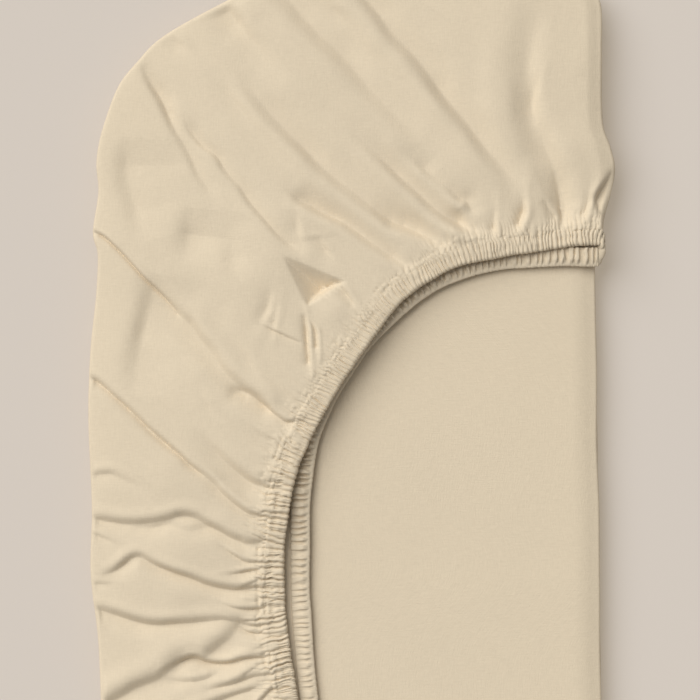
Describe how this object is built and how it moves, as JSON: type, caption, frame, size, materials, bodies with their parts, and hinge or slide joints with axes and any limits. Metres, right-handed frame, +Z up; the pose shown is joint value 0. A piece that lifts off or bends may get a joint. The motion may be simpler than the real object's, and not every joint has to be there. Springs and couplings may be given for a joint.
{
  "type": "fitted sheet",
  "caption": "Fitted cot sheet folded into a flat rectangular packet, with one gathered elastic corner pocket turned over the top.",
  "frame": {"origin": "centre of the packet's bounding box, on the surface it lies on", "axes": "+Z up from the surface, +Y along the packet's length towards the gathered corner, +X to the side where the pocket is folded back"},
  "size_m": [0.2889, 0.4097, 0.0273],
  "materials": {
    "cotton": "matt plain-woven cotton, undyed sand colour"
  },
  "bodies": {
    "root": {"fitted_sheet": "cotton"}
  },
  "joints": []
}
